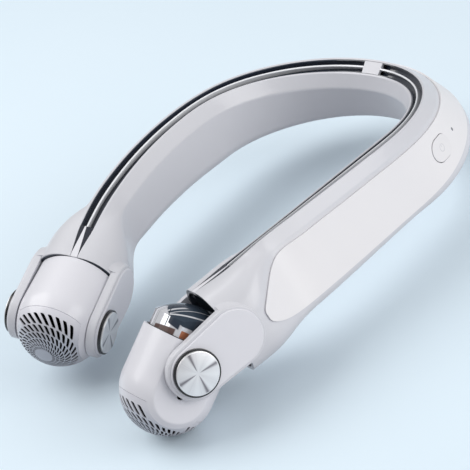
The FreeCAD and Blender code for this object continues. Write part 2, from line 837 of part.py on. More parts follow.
plug = plug_solid(plug_radius, plug_flat, plug_dome_radius, plug_front)
hollow = plug_solid(plug_radius - plug_wall, plug_flat - plug_wall, plug_dome_radius - plug_wall, plug_front)
plug = plug.cut(hollow)
pins = []
for direction in (1, -1):
    ends = sorted((direction * (plug_flat - boss_length), direction * (plug_flat - plug_wall / 2)))
    plug = plug.fuse(rod("x", boss_radius, ends[0], ends[1]))
    ends = sorted((direction * (plug_flat - boss_length), direction * (ear_outer - pin_end_gap)))
    pins.append(rod("x", pin_radius, ends[0], ends[1]))
plug = plug.cut(rod("x", pin_radius + shaft_fit, -reach, reach))
outlets = []
for index in range(plug_slots):
    turn = -(index + 0.5) * plug_slot_pitch_turn
    outlet_half = plug_flat - boss_length
    outlet_start = plug_dome_radius - 2 * plug_wall
    outlet = slab(outlet_half, outlet_start, plug_dome_radius + overrun, plug_slot_width / 2)
    outlet.rotate(Vector(0, 0, 0), Vector(1, 0, 0), turn)
    outlets.append(outlet)
plug = plug.cut(outlets)

for name, side, tilt, slide in (("right", 1, open_tilt, open_slide), ("left", -1, 0, 0)):
    carrier = hinge_frame(side, tilt)
    moved = hinge_frame(side, tilt, slide)
    parts[name + "_outlet_drum"] = placed(plug, carrier)
    parts[name + "_hinge_pins"] = placed(Part.makeCompound(pins), carrier)
    parts[name + "_pod_sleeve"] = placed(sleeve, moved)
    parts[name + "_intake_grille"] = placed(dome, moved)
    parts[name + "_motor"] = placed(motor, moved)
    parts[name + "_impeller"] = placed(impeller, moved)
    parts[name + "_motor_shaft"] = placed(shaft, moved)

os.makedirs("parts", exist_ok=True)
for name, shape in parts.items():
    shape.exportStep("parts/" + name + ".step")
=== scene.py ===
import json
import math

import bmesh
import bpy
from mathutils import Matrix, Vector
from mathutils.bvhtree import BVHTree


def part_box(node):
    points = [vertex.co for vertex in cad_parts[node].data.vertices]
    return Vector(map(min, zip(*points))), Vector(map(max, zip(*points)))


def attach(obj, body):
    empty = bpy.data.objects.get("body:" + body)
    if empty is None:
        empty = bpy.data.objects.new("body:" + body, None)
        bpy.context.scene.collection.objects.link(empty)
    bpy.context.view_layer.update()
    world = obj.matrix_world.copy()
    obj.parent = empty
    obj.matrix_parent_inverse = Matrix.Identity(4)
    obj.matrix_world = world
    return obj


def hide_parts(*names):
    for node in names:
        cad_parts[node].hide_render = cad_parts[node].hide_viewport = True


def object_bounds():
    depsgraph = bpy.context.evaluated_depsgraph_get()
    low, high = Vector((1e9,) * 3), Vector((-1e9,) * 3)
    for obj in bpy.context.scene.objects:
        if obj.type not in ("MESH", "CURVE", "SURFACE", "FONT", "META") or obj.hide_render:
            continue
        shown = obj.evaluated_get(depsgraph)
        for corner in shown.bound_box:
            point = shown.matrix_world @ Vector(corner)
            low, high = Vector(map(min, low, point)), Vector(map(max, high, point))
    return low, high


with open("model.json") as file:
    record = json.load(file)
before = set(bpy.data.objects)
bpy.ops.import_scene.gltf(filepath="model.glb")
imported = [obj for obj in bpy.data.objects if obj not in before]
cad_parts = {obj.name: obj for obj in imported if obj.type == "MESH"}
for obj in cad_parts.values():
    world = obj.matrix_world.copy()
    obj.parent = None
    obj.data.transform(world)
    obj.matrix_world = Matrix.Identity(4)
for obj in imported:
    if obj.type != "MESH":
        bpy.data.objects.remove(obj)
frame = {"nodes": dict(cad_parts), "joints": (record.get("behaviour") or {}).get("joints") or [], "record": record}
cad_box = [list(corner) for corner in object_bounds()]
nodes = frame["nodes"]
joints = {row["name"]: row for row in frame["joints"]}
slot_of_node = {row["node"]: row["material_slot"] for row in frame["record"]["subparts"]}

# Lengths are metres and angles degrees. Inside the finishes they are millimetres and radians.
millimetre = 0.001
touching = 1e-6
sides = ("left", "right")
hinge_ends = [(side, place) for side in sides for place in ("inner", "outer")]


# Frames that the finishes and the pieces are laid out in

crest_end = 1.5 * millimetre


def local_frame(centre, across, up):
    """Matrix of a frame with X across, Z up and Y towards the back."""
    across = across.normalized()
    up = (up - across * up.dot(across)).normalized()
    return Matrix.Translation(centre) @ Matrix((across, up.cross(across), up)).transposed().to_4x4()


def pod_frame(side, joint):
    """Frame at a pod's joint at rest: X along the hinge to the right, Y back along the pod."""
    across = Vector(joints[side + "_tilt"]["axis"])
    back = -Vector(joints[side + "_pod_slide"]["axis"])
    return local_frame(Vector(joints[side + joint]["pos_m"]), across, across.cross(back))


def hinge_frame(side):
    """Frame of a hinge on the band, as its pod's frame stands when closed."""
    closed = math.radians(joints[side + "_tilt"]["range_deg"][0])
    return pod_frame(side, "_tilt") @ Matrix.Rotation(closed, 4, "X")


def crest_frame(side):
    """Frame of a crest strip: origin at the slots' end, Y back along the strip, Z out of it."""
    hinge = hinge_frame(side)
    spots = [vert.co for vert in nodes[side + "_crest_tongue"].data.vertices]
    backs = [(hinge.inverted() @ spot).y for spot in spots]
    ends = []
    for limit in (max(backs), min(backs)):
        close = [spot for spot, back in zip(spots, backs) if abs(back - limit) < crest_end]
        ends.append(sum(close, Vector()) / len(close))
    run = (ends[0] - ends[1]).normalized()
    across = hinge.to_3x3().col[0]
    across = across - run * across.dot(run)
    return local_frame(ends[0], across, across.cross(run))


def button_frame():
    """Frame of the power button: Z out of it and Y up the panel."""
    low, high = [Vector(corner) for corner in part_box("power_button")]
    outward = -Vector(joints["power_press"]["axis"])
    across = Vector((0, 0, 1)).cross(outward)
    return local_frame((low + high) / 2, across, outward)


def node_spots(name, matrix):
    """Points of a CAD node in a local frame."""
    inverse = matrix.inverted()
    return [inverse @ vert.co for vert in nodes[name].data.vertices]


def outward_sign(side, place):
    """1 where a hinge end points to the right along its hinge, and -1 to the left."""
    return 1 if (side == "right") == (place == "outer") else -1


# Finishes. Scales and grains are per metre, and a relief is its strength and its depth.

drift_scale = 22.0
patch_scale = 85.0
smear_scale = 60.0
wear_scale = 140.0
fine_grain = 3200.0
plain_grain = 3000.0
broad_grain = 2600.0
dark_grain = 1800.0
moulded_relief = (0.06, 0.12)
smooth_relief = (0.05, 0.1)
dark_relief = (0.02, 0.1)
metal_relief = (0.03, 0.08)
turned_relief = (0.12, 0.06)
facet_relief = (0.5, 0.6)
gloss_spread = 0.1
white_coat_blur = 0.12
white_coat_index = 1.45
dark_coat_blur = 0.03
dark_coat_index = 1.5


class Wire:
    """A value in a finish's node tree that can be used in sums."""

    def __init__(self, finish, socket):
        self.finish = finish
        self.socket = socket

    def sum(self, operation, first, second=0.0):
        return self.finish.node("Math", {"operation": operation}, {0: first, 1: second})

    def __add__(self, other):
        return self.sum("ADD", self, other)

    def __sub__(self, other):
        return self.sum("SUBTRACT", self, other)

    def __rsub__(self, other):
        return self.sum("SUBTRACT", other, self)

    def __mul__(self, other):
        return self.sum("MULTIPLY", self, other)

    def __pow__(self, other):
        return self.sum("POWER", self, other)

    def __abs__(self):
        return self.sum("ABSOLUTE", self)

    __radd__ = __add__
    __rmul__ = __mul__

    def angle(self, other):
        return self.sum("ARCTAN2", self, other)

    def cosine(self):
        return self.sum("COSINE", self)

    def larger(self, other):
        return self.sum("MAXIMUM", self, other)

    def step(self, low, high):
        """0 below low and 1 above high, with soft ends."""
        sockets = {"Value": self, "From Min": low, "From Max": high}
        return self.finish.node("MapRange", {"interpolation_type": "SMOOTHSTEP"}, sockets)

    def band(self, low, high, soft):
        """1 between low and high, with soft ends."""
        return self.step(low - soft, low + soft) * (1 - self.step(high - soft, high + soft))


def length(*parts):
    """Length of a line from its parts along the axes."""
    total = parts[0] * parts[0]
    for part in parts[1:]:
        total = total + part * part
    return total ** 0.5


class Finish:
    """A procedural material on the principled shader."""

    def __init__(self, name, **constants):
        self.material = bpy.data.materials.new(name)
        self.material.use_nodes = True
        self.tree = self.material.node_tree
        self.shader = self.tree.nodes["Principled BSDF"]
        self.paint(**constants)

    def node(self, kind, settings=None, sockets=None, out=0):
        """Adds a node: its settings first, then the values or links of its sockets."""
        node = self.tree.nodes.new("ShaderNode" + kind)
        for name, value in (settings or {}).items():
            setattr(node, name, value)
        for key, value in (sockets or {}).items():
            self.feed(node.inputs[key], value)
        return Wire(self, node.outputs[out])

    def feed(self, socket, value):
        """Links a wire to a socket, or sets a plain value there."""
        if isinstance(value, Wire):
            self.tree.links.new(value.socket, socket)
        elif socket.type == "RGBA":
            socket.default_value = (*value, 1.0)
        else:
            socket.default_value = value

    def place(self):
        return self.node("TexCoord", out="Object")

    def local(self, matrix):
        """X, Y and Z of the surface in millimetres in a local frame."""
        sockets = {"Vector": self.place(), "Location": matrix.translation}
        sockets["Rotation"] = matrix.to_euler()
        sockets["Scale"] = (millimetre, millimetre, millimetre)
        vector = self.node("Mapping", {"vector_type": "TEXTURE"}, sockets)
        split = self.node("SeparateXYZ", None, {0: vector})
        return [Wire(self, socket) for socket in split.socket.node.outputs]

    def noise(self, scale, detail=2.0, roughness=0.5):
        sockets = {"Vector": self.place(), "Scale": scale}
        sockets.update({"Detail": detail, "Roughness": roughness})
        return self.node("TexNoise", None, sockets)

    def drift(self):
        """Slow change over the whole fan."""
        return self.noise(drift_scale, 3.0)

    def patch(self):
        """Patches about a centimetre wide."""
        return self.noise(patch_scale, 4.0, 0.6)

    def rings(self, value, scale):
        """Noise along one value, such as a radius."""
        sockets = {"W": value, "Scale": scale, "Detail": 3.0}
        return self.node("TexNoise", {"noise_dimensions": "1D"}, sockets)

    def mix(self, share, first, second):
        sockets = {0: share, 6: first, 7: second}
        return self.node("Mix", {"data_type": "RGBA"}, sockets, out=2)

    def ramp(self, value, stops):
        """Colours along a value, from pairs of a place and a colour."""
        wire = self.node("ValToRGB", None, {"Fac": value})
        elements = wire.socket.node.color_ramp.elements
        while len(elements) < len(stops):
            elements.new(1.0)
        for element, (place, colour) in zip(elements, stops):
            element.position = place
            element.color = (*colour, 1.0)
        return wire

    def relief(self, height, strength, depth):
        """Relief of the surface, from a wire of its height."""
        sockets = {"Height": height, "Strength": strength, "Distance": depth * millimetre}
        self.paint(Normal=self.node("Bump", None, sockets))

    def grain(self, scale, relief):
        """Relief of fine noise."""
        self.relief(self.noise(scale), *relief)

    def paint(self, **inputs):
        """Sets inputs of the shader, and gives the material."""
        for socket, value in inputs.items():
            self.feed(self.shader.inputs[socket.replace("_", " ")], value)
        return self.material


def moulded(name, light, dark, roughness, coat, grain):
    """Moulded plastic: slow drift of tint, patchy gloss and a fine moulded grain."""
    finish = Finish(name, Coat_Roughness=white_coat_blur, Coat_IOR=white_coat_index)
    patch = finish.patch()
    tint = finish.mix(finish.drift(), light, dark)
    gloss = roughness + gloss_spread * (patch - 0.5)
    finish.grain(grain, moulded_relief)
    return finish.paint(Base_Color=tint, Roughness=gloss, Coat_Weight=coat + gloss_spread * patch)


def shell_plastic(name, places):
    """Band shell: white outside, with painted shade inside the two shoulder mouths and on their rims."""
    mouth_core = 4.6
    mouth_foot = (-15.0, -14.0)
    shaded_lip_reach, shaded_lip_run = (17.2, 17.4), (23.8, 30.0)
    shaded_wall_reach, shaded_wall_run = (16.4, 16.8), (24.1, 40.0)
    edge = 0.05
    light, dark = (0.69, 0.695, 0.73), (0.65, 0.655, 0.695)
    mouth_painted_shade = (0.034, 0.046, 0.066)
    roughness, coat = 0.29, 0.2
    finish = Finish(name, Coat_Roughness=white_coat_blur, Coat_IOR=white_coat_index)
    patch = finish.patch()
    tint = finish.mix(finish.drift(), light, dark)
    for place in places:
        x, y, z = finish.local(place)
        reach = length(*((abs(part) - mouth_core).larger(0.0) for part in (x, z)))
        # Painted shade: dark inside each shoulder mouth and on the face of its rim, where shade falls in the
        # opening and at the seam.
        shaded_lip = (1 - reach.step(*shaded_lip_reach)) * y.band(*shaded_lip_run, edge)
        wall = (1 - reach.step(*shaded_wall_reach)) * y.band(*shaded_wall_run, edge)
        tint = finish.mix(shaded_lip.larger(wall) * z.step(*mouth_foot), tint, mouth_painted_shade)
    gloss = roughness + gloss_spread * patch
    finish.grain(fine_grain, moulded_relief)
    return finish.paint(Base_Color=tint, Roughness=gloss, Coat_Weight=coat + gloss_spread * patch)


def polished_dark(name, deep, sheen, roughness, coat):
    """Dark gloss plastic with faint smears."""
    finish = Finish(name, Coat_Roughness=dark_coat_blur, Coat_IOR=dark_coat_index)
    smear = finish.noise(smear_scale, 5.0, 0.65)
    tint = finish.mix(smear, deep, sheen)
    gloss = roughness + 0.12 * smear
    finish.grain(dark_grain, dark_relief)
    return finish.paint(Base_Color=tint, Roughness=gloss, Coat_Weight=coat * (0.7 + 0.3 * smear))


def metal(name, light, dark, roughness):
    """Drawn or plated metal with fine wear."""
    finish = Finish(name, Metallic=1.0)
    wear = finish.noise(wear_scale, 4.0, 0.6)
    tint = finish.mix(wear, light, dark)
    finish.grain(broad_grain, metal_relief)
    return finish.paint(Base_Color=tint, Roughness=roughness + 0.12 * (wear - 0.5))


def spun_cap(name, place):
    """Spun metal disc: fine turned rings, with painted reflection in narrow dark spokes and softer light ones
    between them.
    """
    reflection_rays, reflection_phase, reflection_narrow = 4.0, -0.12, 9.0
    reflection_waves, reflection_wave_lead = 8.0, 1.6
    reflection_start, disc_rim = (0.0, 2.5), (9.6, 10.2)
    ring_scale, hair_scale = 9.0, 14.0
    reflection_ray_share, reflection_wave_share, ring_share = 0.62, 0.22, 0.10
    light, middle, dark = (0.84, 0.84, 0.85), (0.66, 0.65, 0.67), (0.20, 0.19, 0.21)
    finish = Finish(name, Metallic=0.6)
    y, z = finish.local(place)[1:]
    angle = z.angle(y)
    radius = length(y, z)
    turned = finish.rings(radius, ring_scale)
    hair = finish.rings(angle, hair_scale)
    # Painted reflection: dark spokes, with lighter bands between them, where a spun face would show the lamps.
    reflection_ray = (reflection_rays * angle - reflection_rays * reflection_phase).cosine().larger(0.0) ** reflection_narrow
    reflection_wave = 0.5 + 0.5 * (reflection_waves * angle - reflection_waves * reflection_phase + reflection_wave_lead).cosine()
    shade = reflection_ray_share * reflection_ray * radius.step(*reflection_start) + reflection_wave_share * reflection_wave * hair
    shade = (shade + ring_share * turned) * (1 - radius.step(*disc_rim))
    tint = finish.ramp(shade, [(0.0, light), (0.3, middle), (0.75, dark)])
    finish.relief(turned, *turned_relief)
    return finish.paint(Base_Color=tint, Roughness=0.24 + 0.14 * turned)


def hinge_drum(name, place):
    """Polished hinge drum with painted reflections on its colour: light streaks, dark brownish, deep blue and
    coppery patches, and thin dark curves.
    """
    light, dark = (0.84, 0.85, 0.88), (0.66, 0.67, 0.71)
    drum_smear_scale = 260.0
    finish = Finish(name, Specular_IOR_Level=0.12)
    x, y, z = finish.local(place)
    off = abs(x)
    smear = finish.noise(drum_smear_scale, 4.0, 0.6)

    # Where each painted reflection lies: across from the drum's middle, back, and up
    reflected_stripes = x.band(-4.5, -1.8, 0.4) + 0.8 * x.band(0.6, 1.0, 0.2) + 0.5 * x.band(2.0, 2.6, 0.2)
    bend = (y - 18.0).larger(0.0)
    reflected_arc = (off + 1.5 * bend).band(9.3, 9.8, 0.12) * y.step(13.0, 13.6)
    reflected_brown = off.band(3.2, 14.4, 0.3) * (y - 0.12 * off).band(2.0, 12.0, 0.3)
    reflected_navy = off.band(10.3, 15.2, 0.3) * (y + 0.25 * off).band(17.6, 21.6, 0.3)
    slant = y - 0.55 * off
    lean = off - 0.35 * (y - 21.0)
    reflected_glints = slant.band(13.4, 14.4, 0.15)
    reflected_glints = reflected_glints + lean.band(5.2, 6.6, 0.2) * y.band(19.5, 24.0, 0.4)
    reflected_glints = reflected_glints + lean.band(8.6, 9.1, 0.15) * y.band(18.0, 25.5, 0.4)
    reflected_blade = (1 - reflected_glints) * (y + 0.35 * off).step(21.4, 21.8)
    cheek = off.step(15.6, 15.9)
    reflected_copper = cheek * z.band(7.6, 11.6, 0.2) * y.band(10.8, 14.2, 0.2)
    reflected_flank = cheek * (1 - z.step(6.6, 7.0))

    # What colour each painted reflection has, the later ones over the earlier ones
    painted_reflections = [
        (0.8 * reflected_stripes, (0.10, 0.10, 0.12)),
        (reflected_brown, (0.120, 0.078, 0.072)),
        (reflected_navy, (0.035, 0.045, 0.065)),
        (reflected_blade, (0.036, 0.050, 0.070)),
        (0.85 * reflected_flank, (0.05, 0.06, 0.08)),
        (reflected_copper, (0.44, 0.17, 0.09)),
        (reflected_arc, (0.02, 0.03, 0.04)),
    ]
    tint = finish.mix(smear, light, dark)
    for share, colour in painted_reflections:
        tint = finish.mix(share, tint, colour)
    plain = 0.4 * (1 - reflected_brown) * (1 - reflected_navy) * (1 - reflected_blade)
    return finish.paint(Base_Color=tint, Roughness=0.07 + 0.08 * smear, Metallic=plain)


def faceted_liner(name):
    """Dark gloss liner with small broken glints painted on its colour as highlights."""
    facet_scale, tint_scale, glint_scale = 260.0, 120.0, 520.0
    lit_facets, lit_spots, glint_share = (0.82, 0.86), (0.48, 0.54), 0.7
    deep, sheen, glint_white = (0.010, 0.014, 0.022), (0.040, 0.052, 0.070), (0.55, 0.60, 0.66)
    finish = Finish(name, Coat_Weight=0.15, Coat_Roughness=0.05, Specular_IOR_Level=0.25)
    sockets = {"Vector": finish.place(), "Scale": facet_scale, "Randomness": 1.0}
    cell = finish.node("TexVoronoi", {"feature": "F1"}, sockets, out="Color")
    edge = finish.node("TexVoronoi", {"feature": "F1"}, sockets, out="Distance")
    lit = finish.node("SeparateXYZ", None, {0: cell})
    # Painted highlights: some cells get a near-white colour as glints.
    glint = lit.step(*lit_facets) * finish.noise(glint_scale, 3.0).step(*lit_spots)
    tint = finish.mix(finish.noise(tint_scale, 4.0), deep, sheen)
    tint = finish.mix(glint_share * glint, tint, glint_white)
    finish.relief(edge, *facet_relief)
    return finish.paint(Base_Color=tint, Roughness=0.16 + 0.1 * lit)


def crest_plastic(name, place):
    """Crest strip ahead of the slots: white, widening from the rib between two dark points."""
    rib_half, widening, edge = 0.45, 0.075, 0.08
    light, dark, slot_dark = (0.81, 0.81, 0.85), (0.77, 0.77, 0.81), (0.012, 0.016, 0.028)
    finish = Finish(name, Coat_Weight=0.2, Coat_Roughness=white_coat_blur)
    x, y = finish.local(place)[:2]
    ahead = 0 - y
    white = 1 - (abs(x) - rib_half - widening * ahead).step(-edge, edge)
    patch = finish.patch()
    tint = finish.mix(patch, light, dark)
    tint = finish.mix(white, slot_dark, tint)
    finish.grain(fine_grain, smooth_relief)
    return finish.paint(Base_Color=tint, Roughness=0.22 + 0.12 * white + 0.06 * patch)


def grille_plastic(name, place):
    """Grille: white at its rim and greyer towards its middle, partly a metal tone and partly painted shade, and
    painted shade inside the slots.
    """
    silver_and_shade_run, metal_run, slot_depth = (9.0, 21.5), (10.0, 20.0), (21.5, 22.2)
    white, silver_and_shade = (0.76, 0.76, 0.81), (0.42, 0.43, 0.48)
    patch_grey, slot_painted_shade = (0.62, 0.62, 0.68), (0.012, 0.012, 0.016)
    patch_share, metal_share, roughness = 0.12, 0.35, 0.28
    finish = Finish(name, Coat_Weight=0.25, Coat_Roughness=white_coat_blur)
    x, y, z = finish.local(place)
    ahead = 0 - y
    patch = finish.patch()
    # Greyer towards the middle: partly a metal tone, partly painted shade where less light reaches the dome's
    # underside.
    tint = finish.mix(ahead.step(*silver_and_shade_run), white, silver_and_shade)
    tint = finish.mix(patch_share * patch, tint, patch_grey)
    # Painted shade: the grille's inner faces dark, so the slots read as deep.
    tint = finish.mix(1 - length(x, y, z).step(*slot_depth), tint, slot_painted_shade)
    gloss = roughness + gloss_spread * patch
    plating = metal_share * ahead.step(*metal_run)
    finish.grain(plain_grain, smooth_relief)
    return finish.paint(Base_Color=tint, Roughness=gloss, Metallic=plating)


def sleeve_plastic(name, place):
    """Pod sleeve: white outside, with painted shade inside."""
    wall_depth, cheek_depth = (20.6, 20.9), (16.6, 16.9)
    light, dark, inside_painted_shade = (0.80, 0.80, 0.84), (0.75, 0.75, 0.80), (0.02, 0.02, 0.025)
    roughness = 0.30
    finish = Finish(name, Coat_Weight=0.25, Coat_Roughness=white_coat_blur)
    x, y, z = finish.local(place)
    ahead = (0 - y).larger(0.0)
    depth = length(x, ahead, z)
    inside = (1 - depth.step(*wall_depth)) * (1 - abs(x).step(*cheek_depth))
    patch = finish.patch()
    tint = finish.mix(finish.drift(), light, dark)
    # Painted shade: the pod's inner faces dark, where little light reaches.
    tint = finish.mix(inside, tint, inside_painted_shade)
    finish.grain(plain_grain, smooth_relief)
    return finish.paint(Base_Color=tint, Roughness=roughness + gloss_spread * patch)


def button_plastic(name, place):
    """Button with a faint printed power sign: a ring open at the top, a bar in the opening."""
    ring_inner, ring_outer, ring_edge, opening_half = 1.75, 2.05, 0.06, 0.7
    bar_half, bar_foot, bar_top, edge = 0.17, 0.3, 2.4, 0.05
    light, dark, sign_grey = (0.84, 0.83, 0.84), (0.80, 0.79, 0.81), (0.42, 0.43, 0.47)
    sign_share = 0.55
    finish = Finish(name, Coat_Weight=0.15, Coat_Roughness=white_coat_blur)
    x, y = finish.local(place)[:2]
    opening = abs(x).band(-opening_half, opening_half, edge) * y.step(0.0, 0.1)
    ring = length(x, y).band(ring_inner, ring_outer, ring_edge) * (1 - opening)
    bar = abs(x).band(-bar_half, bar_half, edge) * y.band(bar_foot, bar_top, edge)
    patch = finish.patch()
    tint = finish.mix(finish.drift(), light, dark)
    tint = finish.mix(sign_share * ring.larger(bar), tint, sign_grey)
    finish.grain(broad_grain, smooth_relief)
    return finish.paint(Base_Color=tint, Roughness=0.40 + 0.08 * patch)


# Plain plastics: two tints, roughness, coat and grain
moulded_rows = {
    "white_panel": ((0.86, 0.85, 0.86), (0.82, 0.81, 0.83), 0.42, 0.1, broad_grain),
    "white_plate": ((0.82, 0.82, 0.86), (0.77, 0.77, 0.82), 0.30, 0.3, fine_grain),
    "bright_rib": ((0.90, 0.91, 0.93), (0.82, 0.84, 0.88), 0.20, 0.4, plain_grain),
    "cell_wrap": ((0.06, 0.12, 0.30), (0.04, 0.09, 0.24), 0.40, 0.1, 2000.0),
    "board_green": ((0.02, 0.16, 0.07), (0.015, 0.12, 0.05), 0.40, 0.2, 2400.0),
    "light_pipe": ((0.10, 0.11, 0.13), (0.06, 0.07, 0.09), 0.15, 0.5, 2400.0),
}
# Dark plastics: two tints, roughness and coat
dark_rows = {
    "outlet_black": ((0.010, 0.014, 0.026), (0.030, 0.040, 0.062), 0.10, 0.7),
    "black_ring": ((0.003, 0.003, 0.004), (0.010, 0.010, 0.012), 0.22, 0.25),
}
# Metals: two tints and roughness
metal_rows = {
    "spun_metal": ((0.80, 0.80, 0.82), (0.66, 0.66, 0.69), 0.28),
    "steel": ((0.60, 0.61, 0.63), (0.48, 0.49, 0.51), 0.30),
    "motor_can": ((0.52, 0.53, 0.55), (0.42, 0.43, 0.45), 0.36),
}
finishes = {
    "white_shell": shell_plastic("white_shell", [hinge_frame(side) for side in sides]),
    "dark_liner": faceted_liner("dark_liner"),
}
finishes.update({name: moulded(name, *row) for name, row in moulded_rows.items()})
finishes.update({name: polished_dark(name, *row) for name, row in dark_rows.items()})
finishes.update({name: metal(name, *row) for name, row in metal_rows.items()})

cap_finishes = {side: spun_cap(side + "_cap_metal_painted_reflection", hinge_frame(side)) for side in sides}
own_finishes = {"power_button": button_plastic("button_plastic", button_frame())}
for side in sides:
    pod = pod_frame(side, "_rotor_spin")
    drum = pod_frame(side, "_tilt")
    crest = crest_frame(side)
    own_finishes[side + "_intake_grille"] = grille_plastic(side + "_grille_plastic", pod)
    own_finishes[side + "_pod_sleeve"] = sleeve_plastic(side + "_sleeve_plastic", pod)
    own_finishes[side + "_outlet_drum"] = hinge_drum(side + "_drum_painted_reflections", drum)
    own_finishes[side + "_crest_tongue"] = crest_plastic(side + "_crest_plastic", crest)

for name, node in nodes.items():
    material = own_finishes[name] if name in own_finishes else finishes[slot_of_node[name]]
    node.data.materials.clear()
    node.data.materials.append(material)


# Making pieces

sharp_turn = 40
turned_steps = 96
bevel_segments = 3


def add_object(name, data):
    """Puts a new object into the scene."""
    thing = bpy.data.objects.new(name, data)
    bpy.context.scene.collection.objects.link(thing)
    return thing


def keep(name, shape, body, material, slot, *stands_for):
    """Makes a shape into a piece of the fan that moves with a body."""
    mesh = bpy.data.meshes.new(name)
    bmesh.ops.recalc_face_normals(shape, faces=shape.faces)
    for face in shape.faces:
        face.smooth = True
    for edge in shape.edges:
        edge.smooth = edge.calc_face_angle(0.0) < math.radians(sharp_turn)
    shape.to_mesh(mesh)
    shape.free()
    mesh.materials.append(material)
    piece = add_object(name, mesh)
    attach(piece, body)
    if stands_for:
        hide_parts(*stands_for)


def on_rim(vert, x, radius):
    """Whether a point lies on a circle round X."""
    return abs(vert.co.x - x) < touching and abs(vert.co.yz.length - radius) < touching


def turned_shape(profile, bevels, outward, place):
    """Shape turned about X from a profile of distances outward and radii, its rims softened."""
    shape = bmesh.new()
    points = [shape.verts.new((reach * outward, radius, 0)) for reach, radius in profile]
    edges = [shape.edges.new(pair) for pair in zip(points, points[1:] + points[:1])]
    bmesh.ops.spin(shape, geom=points + edges, cent=(0, 0, 0), axis=(1, 0, 0), angle=math.tau,
                   steps=turned_steps, use_merge=True)
    bmesh.ops.remove_doubles(shape, verts=shape.verts, dist=touching)
    for reach, radius, width in bevels:
        rim = [edge for edge in shape.edges
               if all(on_rim(vert, reach * outward, radius) for vert in edge.verts)]
        bmesh.ops.bevel(shape, geom=rim, offset=width, segments=bevel_segments, profile=0.5,
                        affect="EDGES", material=-1)
    bmesh.ops.transform(shape, matrix=place, verts=shape.verts)
    return shape


# Hinge caps and their black rings, on the places of the CAD ones

ring_width = 0.75 * millimetre
ring_outer_bevel = 0.25 * millimetre
ring_inner_bevel = 0.15 * millimetre
cap_gap = 0.12 * millimetre
cap_edge = 0.45 * millimetre
cap_dish = 0.35 * millimetre
cap_hub = 1.0 * millimetre

for side, place in hinge_ends:
    matrix = hinge_frame(side)
    outward = outward_sign(side, place)
    end = "%s_%s_" % (side, place)
    ring_node = end + "hinge_ring"
    cap_node = end + "hinge_cap"
    ring_spots = node_spots(ring_node, matrix)
    ring_foot = min(spot.x * outward for spot in ring_spots)
    ring_top = max(spot.x * outward for spot in ring_spots)
    ring_radius = max(spot.yz.length for spot in ring_spots)
    bore = ring_radius - ring_width
    profile = [(ring_foot, bore), (ring_foot, ring_radius)]
    profile += [(ring_top, ring_radius), (ring_top, bore)]
    bevels = [(ring_top, ring_radius, ring_outer_bevel), (ring_top, bore, ring_inner_bevel)]
    ring = turned_shape(profile, bevels, outward, matrix)
    keep(end + "ring", ring, "band", finishes["black_ring"], "black_ring", ring_node)

    cap_top = max(spot.x * outward for spot in node_spots(cap_node, matrix))
    cap_floor = cap_top - cap_dish
    disc = bore - cap_gap
    profile = [(ring_foot, 0), (ring_foot, disc), (cap_top, disc)]
    profile += [(cap_floor, cap_hub), (cap_floor, 0)]
    cap = turned_shape(profile, [(cap_top, disc, cap_edge)], outward, matrix)
    keep(end + "cap", cap, "band", cap_finishes[side], "spun_metal", cap_node)


# Soft fairings that lead the shoulders up to the ears

ear_rear = 24.0 * millimetre
ear_lift = 0.8 * millimetre
ear_half = 14.6 * millimetre
ear_round = 1.0 * millimetre
beyond_ear = 4 * ear_half
fairing_clear = 0.3 * millimetre
fairing_least = 0.4 * millimetre
fairing_sink = 0.08 * millimetre
fairing_root = 0.6 * millimetre
fairing_spread = 1.5
fairing_steps = 44
fairing_points = 7
fairing_turn = 86


def shell_surface(place, matrix):
    """Surface of a half shell in a hinge's frame, to measure on."""
    shell = bmesh.new()
    shell.from_mesh(nodes[place + "_shell"].data)
    bmesh.ops.transform(shell, matrix=matrix.inverted(), verts=shell.verts)
    surface = BVHTree.FromBMesh(shell)
    shell.free()
    return surface


def height_on(surface, outward, spot):
    """Height of a shell's outside over the middle of the hinge, beside a spot."""
    start = Vector((outward * beyond_ear, spot.y, spot.z))
    hit = surface.ray_cast(start, Vector((-outward, 0, 0)))[0]
    return hit.x * outward if hit else 0.0


def fairing_section(surface, outward, ear_top, turn):
    """Points round a fairing at a turn about the ear's rear end: its slope, then its root."""
    away = Vector((0, math.cos(turn), math.sin(turn)))
    rim = Vector((0, ear_rear, ear_lift)) + away * ear_half
    foot = height_on(surface, outward, rim + away * fairing_clear)
    width = max(fairing_least, fairing_spread * max(0.0, ear_top - foot))
    low = height_on(surface, outward, rim + away * width) - fairing_sink
    high = max(ear_top, low)
    points = []
    for index in range(fairing_points):
        share = index / (fairing_points - 1)
        spot = rim + away * width * share
        spot.x = outward * (low + (high - low) * (1 - share) ** 2)
        points.append(spot)
    root = outward * (min(foot, low) - fairing_root)
    return points + [Vector((root, rim.y, rim.z))]


for side, place in hinge_ends:
    matrix = hinge_frame(side)
    outward = outward_sign(side, place)
    end = "%s_%s_" % (side, place)
    surface = shell_surface(place, matrix)
    plate_spots = node_spots(end + "ear_plate", matrix)
    ear_top = min(spot.x * outward for spot in plate_spots) - ear_round
    shape = bmesh.new()
    loops = []
    for step in range(fairing_steps + 1):
        turn = math.radians(fairing_turn - 2 * fairing_turn * step / fairing_steps)
        section = fairing_section(surface, outward, ear_top, turn)
        verts = [shape.verts.new(point) for point in section]
        loops.append([shape.edges.new(pair) for pair in zip(verts, verts[1:] + verts[:1])])
    for first, second in zip(loops, loops[1:]):
        bmesh.ops.bridge_loops(shape, edges=first + second)
    for loop in (loops[0], loops[-1]):
        bmesh.ops.contextual_create(shape, geom=loop)
    bmesh.ops.transform(shape, matrix=matrix, verts=shape.verts)
    keep(end + "fairing", shape, "band", finishes["white_shell"], "white_shell")


# Black seal round the drum, just inside each sleeve's rim: a thin black piece that also stands in for the shadow
# line in the gap between sleeve and drum

